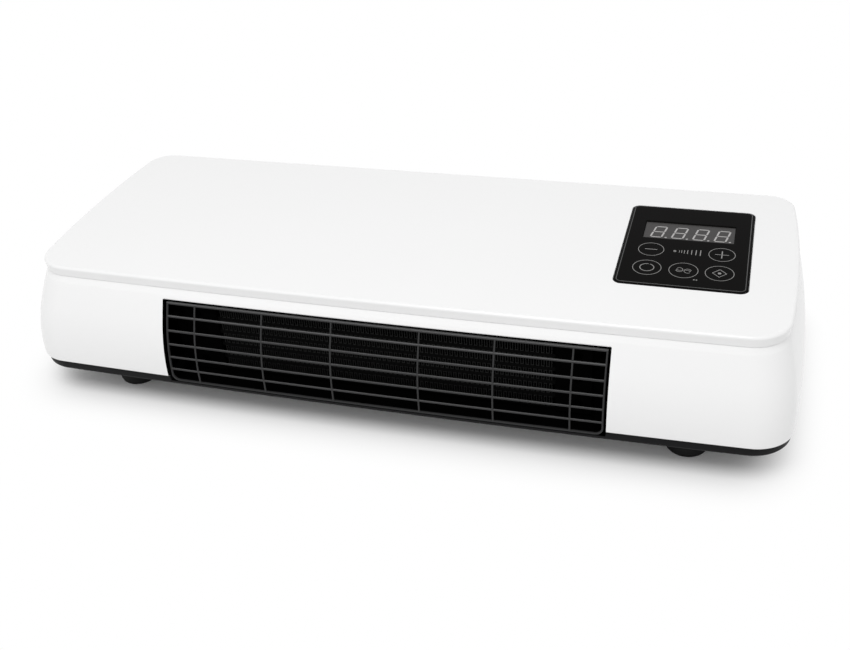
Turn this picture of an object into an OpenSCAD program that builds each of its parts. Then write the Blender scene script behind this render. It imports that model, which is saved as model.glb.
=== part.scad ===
// Low electric fan heater. A barrel-walled housing stands on four rubber feet under a flat lid with
// a touch panel. A cross-flow fan draws air through the rear grille and blows it through a ceramic
// heating element and out of the long grille in the front wall.
// +X is to the right, +Y to the back and +Z up. The feet stand on z = 0 below the housing's centre.

/* [Housing] */
// Length of the lid at its middle
lid_length = 465; // [458:1:470]
// Depth of the lid at its middle
lid_depth = 172; // [168:1:176]
// Radius of the lid's corners in plan
lid_corner = 19; // [17:1:22]
// How far the front bows out over its length
front_bow = 3; // [2:0.5:4]
// How far each end bows out over its depth
end_bow = 5; // [4:0.5:6]
// Height of the top of the lid over the floor
height = 90; // [90:0.5:94]
// Height of the lid's rim
lid_rim = 6.5; // [6:0.25:6.5]
// How far the barrel wall stands out past the lid's edge where it is widest
bulge = 15; // [14.5:0.25:15.5]
// Share of that bulge at the two ends
end_share = 0.6; // [0.55:0.05:0.7]
// Height of the widest place over the floor
bulge_height = 30; // [29:0.5:31]
// Radius of the barrel wall in section
barrel_radius = 88; // [86:1:92]
// Thickness of the housing's walls
wall = 2.6; // [2.4:0.1:3]
// Height of the shell's lower edge over the floor
shell_foot = 27.5; // [27:0.5:28]
// Height of the base's underside over the floor
base_under = 21; // [20.5:0.5:21]

/* [Outlet grille] */
// Width of the middle cell, rib to rib
middle_cell = 54; // [52:1:55]
// Width of the two cells on each side of it
wide_cell = 44.5; // [42:0.5:45]
// Width of the short cell at each end
end_cell = 20.4; // [18:0.2:21]
// Rows of cells
grille_rows = 6; // [5:1:6]
// Distance from one bar to the next; the top row takes what is left
row_pitch = 8.5; // [8.3:0.1:8.6]
// Top of the opening in the front wall
outlet_top = 76.4; // [76:0.2:76.8]
// Thickness of the bars and ribs
bar = 1.3; // [1.1:0.1:1.6]
// Depth of the bars, front to back
bar_depth = 3.2; // [3:0.1:3.3]
// How far the grille lies behind the face of the shell
reveal = 1.5; // [1:0.25:2]

/* [Touch panel] */
// Width of the panel
panel_width = 77; // [74:1:78]
// Depth of the panel
panel_depth = 98; // [94:1:98]
// Middle of the panel, to the right of the centre
panel_x = 167.6; // [166:0.2:168]
// Middle of the panel, behind the centre
panel_y = 9.3; // [6:0.3:9.3]
// Thickness of the panel
panel_thick = 2.5; // [2.3:0.1:2.7]
// Width of the panel's bevel
panel_bevel = 2.2; // [1.5:0.1:2.5]
// Width of the display window
window_width = 54.4; // [52:0.2:56]
// Depth of the display window
window_depth = 21.6; // [20:0.2:22]
// Middle of the window behind the panel's middle
window_y = 16.8; // [15:0.2:18]

/* [Heating element] */
// Length of the finned core
core_length = 218; // [210:2:222]
// Rows of fins
fin_rows = 5; // [3:1:5]
// Distance from one fin to the next
fin_pitch = 1.5; // [1.5:0.1:3]
// Depth of the core, front to back
core_depth = 10; // [8:1:10]

/* [Fan] */
// Radius of the impeller
impeller_radius = 22; // [20:0.5:22]
// Length of the impeller
impeller_length = 236; // [230:2:240]
// Number of blades
blade_count = 24; // [18:1:26]
// Axis of the fan behind the centre
fan_y = 26; // [24:1:28]
// Radius of the motor
motor_radius = 24; // [22:0.5:25]

/* [Feet] */
// Distance of the feet to each side of the centre
foot_x = 180; // [174:1:184]
// Distance of the feet in front of and behind the centre
foot_y = 67.6; // [66:0.2:70]
// Diameter of a foot
foot_diameter = 22; // [20:1:22]

/* [Hidden] */

half_l = lid_length / 2;
half_d = lid_depth / 2;
seam = height - lid_rim;
floor_top = base_under + wall;
lid_under = height - wall;

// The plan outline is a chain of tangent arcs: bowed front, corner, bowed end, corner, straight back.
front_radius = (half_l * half_l + front_bow * front_bow) / (2 * front_bow);
end_radius = (half_d * half_d + end_bow * end_bow) / (2 * end_bow);
front_centre = [0, front_radius - half_d];
end_centre = [half_l - end_radius, 0];
// The corner that two circles about p and q share, on the right of the way from p to q
function crossing(p, rp, q, rq) =
    let (d = norm(q - p), u = (q - p) / d, k = (rp * rp - rq * rq + d * d) / (2 * d))
    p + k * u - sqrt(rp * rp - k * k) * [u[1], -u[0]];
function bearing(c, p) = atan2(p[1] - c[1], p[0] - c[0]);
front_steps = 8;
corner_steps = 8;
end_steps = 6;
// Points along an arc, without its first
function arc(c, r, a, b, steps) =
    [for (i = [1:steps]) let (t = a + (b - a) * i / steps) c + r * [cos(t), sin(t)]];
// The right half of the outline, from the front to the back. Its front and back lie o outside the
// lid's edge and its ends lie e outside it.
function half_outline(o, e) = let (r = lid_corner + (o + e) / 2,
        front = crossing(front_centre, front_radius + o - r, end_centre, end_radius + e - r),
        back = [end_centre[0] + sqrt(pow(end_radius + e - r, 2) - pow(half_d + o - r, 2)), half_d + o - r],
        front_end = bearing(front_centre, front), end_start = bearing(end_centre, front),
        end_end = bearing(end_centre, back))
    concat([front_centre - [0, front_radius + o]],
        arc(front_centre, front_radius + o, -90, front_end, front_steps),
        arc(front, r, front_end, end_start, corner_steps),
        arc(end_centre, end_radius + e, end_start, end_end, end_steps),
        arc(back, r, end_end, 90, corner_steps));
function outline(o, e) = let (h = half_outline(o, e), n = len(h))
    concat(h, [for (i = [n - 1:-1:1]) [-h[i][0], h[i][1]]]);
ring_points = len(outline(0, 0));

// How far the barrel wall stands outside the lid's edge at height z, and the same for its inside
function barrel(z) = bulge - barrel_radius + sqrt(pow(barrel_radius, 2) - pow(z - bulge_height, 2));
function barrel_inside(z) =
    bulge - barrel_radius + sqrt(pow(barrel_radius - wall, 2) - pow(z - bulge_height, 2));

// Each level is [distance outside the lid's edge, height], with the distance at the ends as a third
// where it differs. The rings are joined in order.
function ring_faces(count, closed) =
    [for (i = [0:count - (closed ? 1 : 2)], j = [0:ring_points - 1])
        let (k = (j + 1) % ring_points, a = i * ring_points, b = ((i + 1) % count) * ring_points)
        each [[a + j, b + j, b + k], [a + j, b + k, a + k]]];
function ring_vertices(levels) = [for (l = levels)
    for (p = outline(l[0], l[2] == undef ? l[0] : l[2])) [p[0], p[1], l[1]]];
module loft(levels) {
    last = (len(levels) - 1) * ring_points;
    polyhedron(ring_vertices(levels), concat(ring_faces(len(levels), false),
        [[for (j = [0:ring_points - 1]) j]], [[for (j = [ring_points - 1:-1:0]) last + j]]));
}
module ring_wall(levels) {
    polyhedron(ring_vertices(levels), ring_faces(len(levels), true));
}

// A flat shape drawn in (y, z) and carried from x = a to x = b
module along_x(a, b) {
    translate([a, 0, 0]) rotate([90, 0, 90]) linear_extrude(b - a) children();
}
// A flat shape drawn in (x, z) and carried from y = a to y = b
module along_y(a, b) {
    translate([0, b, 0]) rotate([90, 0, 0]) linear_extrude(b - a) children();
}
module box(low, high) {
    translate(low) cube(high - low);
}
module post(x, y, low, high, r) {
    translate([x, y, low]) cylinder(h = high - low, r = r, $fn = 32);
}
module rounded(w, d, r) {
    difference() {
        square([w, d], center = true);
        for (sx = [-1, 1], sy = [-1, 1]) translate([sx * w / 2, sy * d / 2]) difference() {
            square(2 * r, center = true);
            translate([-sx * r, -sy * r]) circle(r, $fn = 48);
        }
    }
}
module four(x, y) {
    for (sx = [-1, 1], sy = [-1, 1]) translate([sx * x, sy * y, 0]) children();
}

// Outlet
outlet_half = middle_cell / 2 + 2 * wide_cell + end_cell;
grille_gap = 1.2;
grille_low = floor_top;
grille_high = outlet_top - 1.7;
grille_corner = 5;

// Screws that join lid, shell and base
case_x = 207;
case_y = 66;
case_split = 42;
case_head_z = 36;
case_screw_r = 1.6;
case_screw_top = 58;

// Air path
duct_x = 126;
duct_wall = 2;
duct_low = floor_top;
duct_high = 79;
frame_front = -80;
frame_back = -38;
housing_back = 80;
plate_x = 128;
plate_out = plate_x + duct_wall;
scroll_gap = 3.6;
fan_z = duct_low + duct_wall + scroll_gap + impeller_radius + 0.1;
tongue_gap = 3.6;

// Element
core_low = duct_low + duct_wall + 0.8;
core_high = core_low + 45.4;
core_y = -76.5;
holder_in = core_length / 2 - 4;
holder_depth = core_depth + 2.6;
terminal_z = [core_low + 6, (core_low + core_high) / 2, core_high - 6];
tube_thick = 2.4;
side_plate = 0.9;
fin_thick = 0.35;
fin_rise = (core_high - core_low - 2 * side_plate - (fin_rows - 1) * tube_thick) / fin_rows;

// Fan and motor
shaft_r = 3;
running = 0.05;
motor_in = -133;
motor_len = 32;
motor_skin = 1.6;
bush_length = 8;

// Electronics
board_thick = 1.6;
board_z = floor_top + 7;
pocket_floor = height - 1.8;
module_top = height - 0.1;
module_rise = 8;
control_z = module_top - module_rise - board_thick;

// Rear fittings
switch_x = 185;
fitting_z = 44;
pad_face = half_d + bulge - 1.8;
pad_back = pad_face - 4.4;
grommet_x = -185;
inlet_half = 132;
inlet_low = 33;
inlet_high = 73;

shoulder = seam - 4.3;
shell_levels = concat(
    [for (i = [0:9]) let (z = shell_foot + (shoulder - shell_foot) * i / 9)
        [barrel(z), z, end_share * barrel(z)]],
    [for (d = [[0.9, 0.5], [1.4, 0]])
        [barrel(shoulder) - d[0], seam - d[1], end_share * barrel(shoulder) - d[0]]],
    [for (i = [0:7]) let (z = seam + (shell_foot - seam) * i / 7)
        [barrel_inside(z), z, end_share * barrel(z) - wall]]);

module flat_pad(x, w, h) {
    translate([x, 0, fitting_z]) along_y(pad_back, half_d + bulge + 0.3) rounded(w, h, 3);
}
module pad_recess(x, w, h) {
    translate([x, 0, fitting_z]) along_y(pad_face, pad_face + 6) rounded(w, h, 3);
}

// Barrel-shaped outer wall, open above and below, with its openings
module body_shell() color("white") difference() {
    union() {
        ring_wall(shell_levels);
        flat_pad(switch_x, 24, 28);
        flat_pad(grommet_x, 28, 28);
    }
    box([-outlet_half, -half_d - 30, 0], [outlet_half, -half_d + 20, outlet_top]);
    along_y(half_d - 10, half_d + 30) translate([0, (inlet_low + inlet_high) / 2])
        rounded(2 * inlet_half, inlet_high - inlet_low, 6);
    pad_recess(switch_x, 18, 24);
    pad_recess(grommet_x, 23, 23);
    translate([switch_x, 0, fitting_z]) along_y(half_d, half_d + 30) square([13, 19], center = true);
    translate([grommet_x, half_d, fitting_z]) rotate([-90, 0, 0]) cylinder(h = 30, r = 8, $fn = 48);
}

// Flat lid with a turned-down rim, a skirt that locates it in the shell, ribs and screw bosses
module top_cover() color("white") difference() {
    union() {
        loft([[-9, lid_under], [-9, seam - 4], [-7, seam - 4], [-7, seam], [-1.4, seam],
            [-0.8, seam + 0.4], [0, height - 3], [-0.5, height - 1.5], [-1.5, height - 0.5],
            [-3, height]]);
        four(case_x, case_y) post(0, 0, case_split, lid_under, 5);
        for (y = [-56:28:56]) box([-200, y - 0.7, lid_under - 5], [110, y + 0.7, lid_under]);
        for (x = [-150:50:100]) box([x - 0.7, -72, lid_under - 5], [x + 0.7, 72, lid_under]);
        translate([panel_x, panel_y, lid_under - 3]) linear_extrude(3)
            rounded(panel_width + 10, panel_depth + 10, 6);
        for (p = board_fix) post(p[0], p[1], control_z + board_thick, lid_under, 3);
    }
    four(case_x, case_y) post(0, 0, case_split - 1, case_screw_top + 4, case_screw_r);
    translate([panel_x, panel_y, pocket_floor]) linear_extrude(10)
        rounded(panel_width + 0.5, panel_depth + 0.5, 5.25);
    translate([panel_x, panel_y, lid_under - 10]) linear_extrude(20)
        rounded(panel_width - 15, panel_depth - 15, 3);
    for (p = board_fix) post(p[0], p[1], control_z, control_z + 5, 1.1);
}

// Black base: a shallow tray that closes the shell from below and carries everything inside
rim = barrel(shell_foot) - 1.4;
end_rim = end_share * barrel(shell_foot) - 1.4;
module base_tray() color("#181818") difference() {
    union() {
        loft([for (l = [[1, base_under], [0.3, base_under + 0.6], [0, base_under + 2],
            [0, shell_foot], [2, shell_foot], [2, shell_foot + 1.8],
            [4, shell_foot + 1.8], [4, floor_top]]) [rim - l[0], l[1], end_rim - l[0]]]);
        four(case_x, case_y) post(0, 0, base_under, case_split, 6.4);
        four(foot_x, foot_y) post(0, 0, base_under, floor_top + 8, 5);
        for (x = [146, 210], y = [-40, 40]) post(x, y, base_under, board_z, 3.5);
    }
    box([-outlet_half, -half_d - 30, floor_top], [outlet_half, -half_d, shell_foot + 10]);
    four(case_x, case_y) post(0, 0, base_under - 1, case_head_z, 4.2);
    four(case_x, case_y) post(0, 0, base_under - 1, case_split + 1, 2.1);
    four(foot_x, foot_y) post(0, 0, base_under - 1, base_under + 8, 1.5);
    for (x = [146, 210], y = [-40, 40]) post(x, y, floor_top, board_z + 1, 1.2);
}

rib_x = [-middle_cell / 2 - 2 * wide_cell, -middle_cell / 2 - wide_cell, -middle_cell / 2,
    middle_cell / 2, middle_cell / 2 + wide_cell, middle_cell / 2 + 2 * wide_cell];
module grille_frame_shape(inset) {
    w = outlet_half - grille_gap - inset;
    low = grille_low + inset;
    high = grille_high - inset;
    r = grille_corner - inset;
    difference() {
        translate([-w, low]) square([2 * w, high - low]);
        for (s = [-1, 1]) translate([s * w, low]) difference() {
            square(2 * r, center = true);
            translate([-s * r, r]) circle(r, $fn = 48);
        }
    }
}
// Warm-air grille: ribs and bars cut to the bow and barrel of the front wall, with four fixing tabs
module outlet_grille() color("#2c2c2e") union() {
    swing = asin((outlet_half + 4) / front_radius);
    intersection() {
        along_y(-half_d - 30, -half_d + 20) {
            difference() {
                grille_frame_shape(0);
                grille_frame_shape(bar);
            }
            intersection() {
                grille_frame_shape(0);
                union() {
                    for (x = rib_x) translate([x - bar / 2, 0]) square([bar, height]);
                    for (i = [1:grille_rows - 1])
                        translate([-half_l, grille_low + i * row_pitch]) square([lid_length, bar]);
                }
            }
        }
        translate(concat(front_centre, 0)) rotate([0, 0, -90 - swing])
            rotate_extrude(angle = 2 * swing, $fn = 2880) difference() {
                translate([front_radius + bulge - reveal - barrel_radius, bulge_height])
                    circle(barrel_radius, $fn = 180);
                translate([front_radius + bulge - reveal - bar_depth - barrel_radius, bulge_height])
                    circle(barrel_radius, $fn = 180);
                translate([0, -height]) square([front_radius - 30, 3 * height]);
            }
    }
    for (s = [-1, 1], z = [29, 62]) box([s * 131.5 - 2.5,
        bar_depth / 2 + reveal - half_d - barrel(z + 3), z], [s * 131.5 + 2.5, frame_front, z + 6]);
}

// Rear air grille: horizontal slats that follow the barrel of the rear wall
module inlet_grille() color("#2c2c2e") {
    inlet_slats();
    for (s = [-1, 1], z = [38, 62]) box([s * plate_x - 3, housing_back, z],
        [s * plate_x + 3, half_d + barrel(z + 3) - 2.6, z + 6]);
}
module inlet_slats() intersection() {
    along_y(half_d - 10, half_d + 30) {
        difference() {
            translate([0, (inlet_low + inlet_high) / 2])
                rounded(2 * inlet_half - 0.8, inlet_high - inlet_low - 0.8, 5.6);
            translate([0, (inlet_low + inlet_high) / 2])
                rounded(2 * inlet_half - 5, inlet_high - inlet_low - 5, 3.5);
        }
        for (z = [inlet_low + 6.4:6.4:inlet_high - 5])
            translate([1 - inlet_half, z]) square([2 * inlet_half - 2, 1.6]);
        for (x = [-99:33:99]) translate([x - 0.9, inlet_low + 1])
            square([1.8, inlet_high - inlet_low - 2]);
    }
    along_x(-inlet_half - 5, inlet_half + 5) difference() {
        translate([half_d + bulge - 0.6 - barrel_radius, bulge_height]) circle(barrel_radius, $fn = 180);
        translate([half_d + bulge - 4.6 - barrel_radius, bulge_height]) circle(barrel_radius, $fn = 180);
        translate([-200, 0]) square([200, 100]);
    }
}

// Touch panel of dark plastic with bevelled edges and the display's window
module bevelled(w, top) {
    polygon([[-w / 2, pocket_floor], [w / 2, pocket_floor], [w / 2, top - 0.7],
        [w / 2 - panel_bevel, top], [panel_bevel - w / 2, top], [-w / 2, top - 0.7]]);
}
module touch_panel() color("#0c0c0e") translate([panel_x, panel_y, 0]) difference() {
    intersection() {
        linear_extrude(height + 10) rounded(panel_width, panel_depth, 5);
        along_y(-panel_depth, panel_depth) bevelled(panel_width, pocket_floor + panel_thick);
        along_x(-panel_width, panel_width) bevelled(panel_depth, pocket_floor + panel_thick);
    }
    translate([0, window_y, 0]) linear_extrude(height + 10) rounded(window_width, window_depth, 1);
}
module display_module() color("#4c4c50") translate([panel_x, panel_y + window_y, 0]) {
    box([-window_width / 2 + 0.3, -window_depth / 2 + 0.3, control_z + board_thick],
        [window_width / 2 - 0.3, window_depth / 2 - 0.3, module_top]);
}
key_places = [[-20.2, -7], [20.8, -7], [-20, -27.7], [0.9, -27.7], [21, -27.7]];
board_fix = [for (sx = [-1, 1], sy = [-1, 1]) [panel_x + sx * 34, panel_y + sy * 45]];
module control_board() color("darkgreen") difference() {
    translate([panel_x, panel_y, control_z]) linear_extrude(board_thick)
        rounded(panel_width + 2, panel_depth + 3, 3);
    for (p = board_fix) post(p[0], p[1], 0, height, 1.4);
}
module touch_springs() color("silver") for (p = key_places) difference() {
    post(panel_x + p[0], panel_y + p[1], control_z + board_thick, pocket_floor, 4);
    post(panel_x + p[0], panel_y + p[1], 0, height, 3.3);
}

// Rectangular duct that holds the heating element behind the outlet grille
module heater_frame() color("#202022") difference() {
    union() {
        box([-duct_x - duct_wall, frame_front, duct_low], [duct_x + duct_wall, frame_back, duct_high]);
        box([-outlet_half + 2, frame_front, duct_low], [outlet_half - 2, frame_front + 2, duct_high]);
    }
    box([-duct_x, frame_front - 1, duct_low + duct_wall], [duct_x, frame_back + 1, duct_high - duct_wall]);
}
module heater_holder(s) {
    x0 = s > 0 ? holder_in : -duct_x;
    x1 = s > 0 ? duct_x : -holder_in;
    px = s > 0 ? [0, core_length / 2] : [-core_length / 2, 0];
    difference() {
        box([x0, core_y - holder_depth / 2, duct_low + duct_wall],
            [x1, core_y + holder_depth / 2, duct_high - duct_wall]);
        box([px[0], core_y - core_depth / 2, core_low], [px[1], core_y + core_depth / 2, core_high]);
        for (z = terminal_z) translate([s * 118, core_y - holder_depth / 2 - 1, z])
            rotate([-90, 0, 0]) cylinder(h = 5, r = 3, $fn = 32);
    }
}
module heater_holder_left() color("#161616") heater_holder(-1);
module heater_holder_right() color("#161616") heater_holder(1);
function tube_z(i) = core_low + side_plate + i * (fin_rise + tube_thick) - tube_thick;
module heater_tubes() color("silver") {
    for (i = [1:fin_rows - 1]) box([-core_length / 2, core_y - core_depth / 2, tube_z(i)],
        [core_length / 2, core_y + core_depth / 2, tube_z(i) + tube_thick]);
    for (z = [core_low, core_high - side_plate]) box([-core_length / 2, core_y - core_depth / 2, z],
        [core_length / 2, core_y + core_depth / 2, z + side_plate]);
}
// A strip folded to and fro between two tubes
fin_count = 2 * floor((2 * holder_in - 1) / (2 * fin_pitch));
module folded_strip(h) {
    t = fin_thick / 2;
    x0 = -fin_pitch * (fin_count - 1) / 2;
    left = [for (k = [0:fin_count - 1]) let (x = x0 + k * fin_pitch, even = k % 2 == 0)
        each even ? [[x - t, k == 0 ? 0 : 2 * t], [x - t, h]] : [[x + t, h], [x + t, 2 * t]]];
    right = [for (k = [0:fin_count - 1]) let (x = x0 + k * fin_pitch, even = k % 2 == 0)
        each even ? [[x + t, 0], [x + t, h - 2 * t]] : [[x - t, h - 2 * t], [x - t, 0]]];
    last = fin_count - 1;
    polygon(concat([for (i = [0:2 * last]) left[i]], [[x0 + last * fin_pitch + t, 0]],
        [for (i = [2 * last + 1:-1:0]) right[i]]));
}
module heater_fins() color("gainsboro") for (i = [0:fin_rows - 1])
    translate([0, 0, tube_z(i) + tube_thick]) along_y(core_y - core_depth / 2, core_y + core_depth / 2)
        folded_strip(fin_rise);
module heater_terminals() color("gold") for (z = terminal_z)
    box([duct_x - 14, core_y + holder_depth / 2, z - 3.2],
        [duct_x - 6, core_y + holder_depth / 2 + 9, z - 2.4]);

// Scroll and end plates of the fan
module ring_part(r, t, a, b) {
    rotate([0, 0, a]) rotate_extrude(angle = b - a, $fn = 96) translate([r, 0]) square(t);
}
module scroll_wall() {
    translate([0, fan_y, fan_z]) rotate([90, 0, 90]) translate([0, 0, -plate_x])
        rotate([0, 0, -92]) rotate_extrude(angle = 74, $fn = 120)
            translate([scroll_radius, 0]) square([duct_wall, 2 * plate_x]);
}
scroll_radius = impeller_radius + scroll_gap;
scroll_end = [fan_y + scroll_radius * cos(-18.5), fan_z + scroll_radius * sin(-18.5)];
tongue = [fan_y - (impeller_radius + tongue_gap) * cos(46),
    fan_z + (impeller_radius + tongue_gap) * sin(46)];
module fan_housing() color("#202022") union() {
    difference() {
        union() {
            for (x = [-plate_out, plate_x])
                box([x, frame_back, duct_low], [x + duct_wall, housing_back, duct_high - duct_wall]);
        }
        translate([0, fan_y, fan_z]) rotate([0, 90, 0]) {
            translate([0, 0, -140]) cylinder(h = 20, r = 9, $fn = 48);
            translate([0, 0, 120]) cylinder(h = 20, r = 10, $fn = 48);
        }
    }
    scroll_wall();
    for (s = [-1, 1]) box([s * plate_x - 4, housing_back - 2, duct_low], [s * plate_x + 4, housing_back, 72]);
    box([-plate_x - 0.5, frame_back, duct_low], [plate_x + 0.5, fan_y, duct_low + duct_wall]);
    along_x(-plate_x - 0.5, plate_x + 0.5) polygon([scroll_end, [housing_back, inlet_low - 4],
        [housing_back, inlet_low - 6], scroll_end + [1.2, -2]]);
}
module fan_cover() color("#28282a") union() {
    box([-plate_out, frame_back, duct_high - duct_wall], [plate_out, housing_back, duct_high]);
    along_x(-plate_x + 0.2, plate_x - 0.2) polygon([[frame_back, duct_high - duct_wall],
        [tongue[0] - 4, tongue[1] + 3], tongue, [tongue[0] + 4.5, tongue[1] + 2.4],
        [tongue[0] + 9, duct_high - duct_wall]]);
}

// Cross-flow impeller: a cage of curved blades through thin rings
disc = 2.5;
blade_bend = 0.315 * impeller_radius;
module blade() {
    translate([0.778 * impeller_radius, blade_bend, -impeller_length / 2]) rotate([0, 0, -107])
        rotate_extrude(angle = 49, $fn = 72) translate([blade_bend, 0]) square([0.9, impeller_length]);
}
module on_fan_axis() {
    translate([0, fan_y, fan_z]) rotate([90, 0, 90]) children();
}
module fan_impeller() color("#303236") on_fan_axis() difference() {
    union() {
        for (i = [0:blade_count - 1]) rotate([0, 0, i * 360 / blade_count]) blade();
        for (s = [-1, 1]) translate([0, 0, s * (impeller_length - disc) / 2])
            cylinder(h = disc, r = impeller_radius, center = true, $fn = 96);
        for (x = [-59, 0, 59]) translate([0, 0, x]) difference() {
            cylinder(h = 1.6, r = impeller_radius, center = true, $fn = 96);
            cylinder(h = 3, r = 0.65 * impeller_radius, center = true, $fn = 96);
        }
        translate([0, 0, -impeller_length / 2]) cylinder(h = 14, r = 9, $fn = 48);
        translate([0, 0, impeller_length / 2 - 12]) cylinder(h = 12, r = 7, $fn = 48);
    }
    translate([0, 0, -impeller_length / 2 - 1]) cylinder(h = 16, r = 5.5, $fn = 48);
    translate([0, 0, impeller_length / 2 - 13]) cylinder(h = 14, r = shaft_r, $fn = 48);
}
module drive_hub() color("#b08d3c") on_fan_axis() difference() {
    translate([0, 0, -impeller_length / 2 - 3]) cylinder(h = 17, r = 5.5, $fn = 48);
    translate([0, 0, -impeller_length / 2 - 4]) cylinder(h = 19, r = shaft_r, $fn = 48);
}
module motor_shaft() color("silver") on_fan_axis()
    translate([0, 0, motor_in - motor_len - 3])
        cylinder(h = motor_len + 15 - motor_in - impeller_length / 2, r = shaft_r, $fn = 48);
rotor_len = 20;
motor_mid = motor_in - motor_len / 2;
module motor_rotor() color("#6b5b4a") on_fan_axis() translate([0, 0, motor_mid]) difference() {
    cylinder(h = rotor_len, r = 14, center = true, $fn = 64);
    cylinder(h = rotor_len + 2, r = shaft_r, center = true, $fn = 48);
}
module motor_stator() color("#8a4b2a") on_fan_axis() translate([0, 0, motor_mid]) difference() {
    cylinder(h = rotor_len, r = motor_radius - motor_skin, center = true, $fn = 64);
    cylinder(h = rotor_len + 2, r = 14.5, center = true, $fn = 64);
}
module motor_case() color("silver") on_fan_axis() difference() {
    translate([0, 0, motor_in - motor_len]) cylinder(h = motor_len, r = motor_radius, $fn = 64);
    translate([0, 0, motor_in - motor_len - 1])
        cylinder(h = motor_len - 2, r = motor_radius - motor_skin, $fn = 64);
    translate([0, 0, motor_in - 5]) cylinder(h = 10, r = shaft_r + running, $fn = 48);
}
module motor_end_cap() color("#9a9a9a") on_fan_axis() difference() {
    union() {
        translate([0, 0, motor_in - motor_len - 2]) cylinder(h = 2, r = motor_radius, $fn = 64);
        translate([0, 0, motor_in - motor_len - 2]) cylinder(h = 5, r = 7, $fn = 48);
    }
    translate([0, 0, motor_in - motor_len - 3]) cylinder(h = 9, r = shaft_r + running, $fn = 48);
}
module motor_bracket() color("#bdbdbd") difference() {
    union() {
        box([-plate_out - 3, fan_y - 30, duct_low], [-plate_out, fan_y + 30, duct_high - 6]);
        box([-plate_out - 18, fan_y - 30, duct_low], [-plate_out, fan_y + 30, duct_low + 2]);
    }
    on_fan_axis() translate([0, 0, -plate_out - 5]) cylinder(h = 10, r = 8, $fn = 48);
}
module end_spindle() color("silver") on_fan_axis()
    translate([0, 0, impeller_length / 2 - 12]) cylinder(h = 28, r = shaft_r, $fn = 48);
module bearing_bush() color("#b8863b") on_fan_axis() difference() {
    translate([0, 0, plate_x - 3]) cylinder(h = bush_length, r = 6, $fn = 48);
    translate([0, 0, plate_x - 4]) cylinder(h = bush_length + 2, r = shaft_r + running, $fn = 48);
}
module bearing_mount() color("#202020") on_fan_axis() difference() {
    union() {
        translate([0, 0, plate_x]) cylinder(h = duct_wall, r = 10, $fn = 48);
        translate([0, 0, plate_out]) cylinder(h = 3, r = 12, $fn = 48);
        translate([0, 0, plate_x - 2]) cylinder(h = 2, r = 11.5, $fn = 48);
    }
    translate([0, 0, plate_x - 4]) cylinder(h = bush_length + 4, r = 6, $fn = 48);
}
module thermal_cutout() color("#d8c9a8") translate([duct_x + duct_wall, -56, 60]) rotate([0, 90, 0]) {
    cylinder(h = 3, r = 8, $fn = 48);
    cylinder(h = 8, r = 6.5, $fn = 48);
}

// Mains electronics on the base, right of the fan
module power_board() color("#1f5a2e") difference() {
    box([140, -50, board_z], [216, 50, board_z + board_thick]);
    for (x = [146, 210], y = [-40, 40]) post(x, y, board_z - 1, board_z + 4, 1.7);
}
board_top = board_z + board_thick;
module power_relays() color("#1b3f7a") for (x = [154, 178])
    box([x, -47, board_top], [x + 19, -32, board_top + 16]);
module supply_capacitor() color("#b8a03a") box([158, -20, board_top], [184, -10, board_top + 18]);
module terminal_block() color("#2d7a45") difference() {
    box([150, 22, board_top], [190, 34, board_top + 14]);
    for (x = [156:7:184]) translate([x, 36, board_top + 5]) rotate([90, 0, 0])
        cylinder(h = 12, r = 2, $fn = 32);
}

// Mains switch in the rear wall
rocker_pivot_y = pad_face - 4.2;
module switch_housing() color("#151515") translate([switch_x, 0, fitting_z]) difference() {
    union() {
        along_y(pad_face, pad_face + 1.5) rounded(15, 21, 1.5);
        along_y(pad_face - 18, pad_face) square([12.8, 18.8], center = true);
    }
    along_y(pad_face - 9, pad_face + 3) square([9.6, 16.4], center = true);
    translate([-6, rocker_pivot_y, 0]) rotate([0, 90, 0]) cylinder(h = 12, r = 1.26, $fn = 32);
}
module power_rocker() color("#c02020") translate([switch_x, rocker_pivot_y, fitting_z]) rotate([-10, 0, 0]) {
    along_x(-4.5, 4.5) polygon([[-2, -7], [4.4, -7.2], [3.2, 0], [4.4, 7.2], [-2, 7]]);
    translate([-5.6, 0, 0]) rotate([0, 90, 0]) cylinder(h = 11.2, r = 1.2, $fn = 32);
}
module cord_grommet() color("#101010") translate([grommet_x, 0, fitting_z]) rotate([-90, 0, 0]) difference() {
    union() {
        translate([0, 0, pad_face]) cylinder(h = 1.5, r = 10.5, $fn = 64);
        translate([0, 0, pad_back - 2]) cylinder(h = pad_face - pad_back + 3, r = 8, $fn = 64);
        translate([0, 0, pad_back - 3]) cylinder(h = 3, r = 10, $fn = 64);
    }
    translate([0, 0, pad_back - 5]) cylinder(h = 20, r = 4, $fn = 48);
}

// Rubber foot with a sunk screw seat
foot_head_z = 14;
module foot(sx, sy) color("#1c1c1c") translate([sx * foot_x, sy * foot_y, 0]) difference() {
    rotate_extrude($fn = 64) polygon([[0, 0], [foot_diameter / 2 - 2, 0],
        [foot_diameter / 2 - 1, 0.5], [foot_diameter / 2 - 0.7, 1.4],
        [foot_diameter / 2, base_under - 1.5], [foot_diameter / 2, base_under], [0, base_under]]);
    translate([0, 0, -1]) cylinder(h = foot_head_z + 1, r = 4.5, $fn = 48);
    translate([0, 0, -1]) cylinder(h = base_under + 2, r = 1.9, $fn = 48);
}
module foot_front_left() foot(-1, -1);
module foot_front_right() foot(1, -1);
module foot_rear_left() foot(-1, 1);
module foot_rear_right() foot(1, 1);
module screw(x, y, z, head, r, length) {
    difference() {
        union() {
            post(x, y, z - 2.4, z, head);
            post(x, y, z, z + length, r);
        }
        translate([x, y, z - 2.4]) for (a = [0, 90]) rotate([0, 0, a])
            cube([3.6, 0.9, 2.4], center = true);
    }
}
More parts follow.
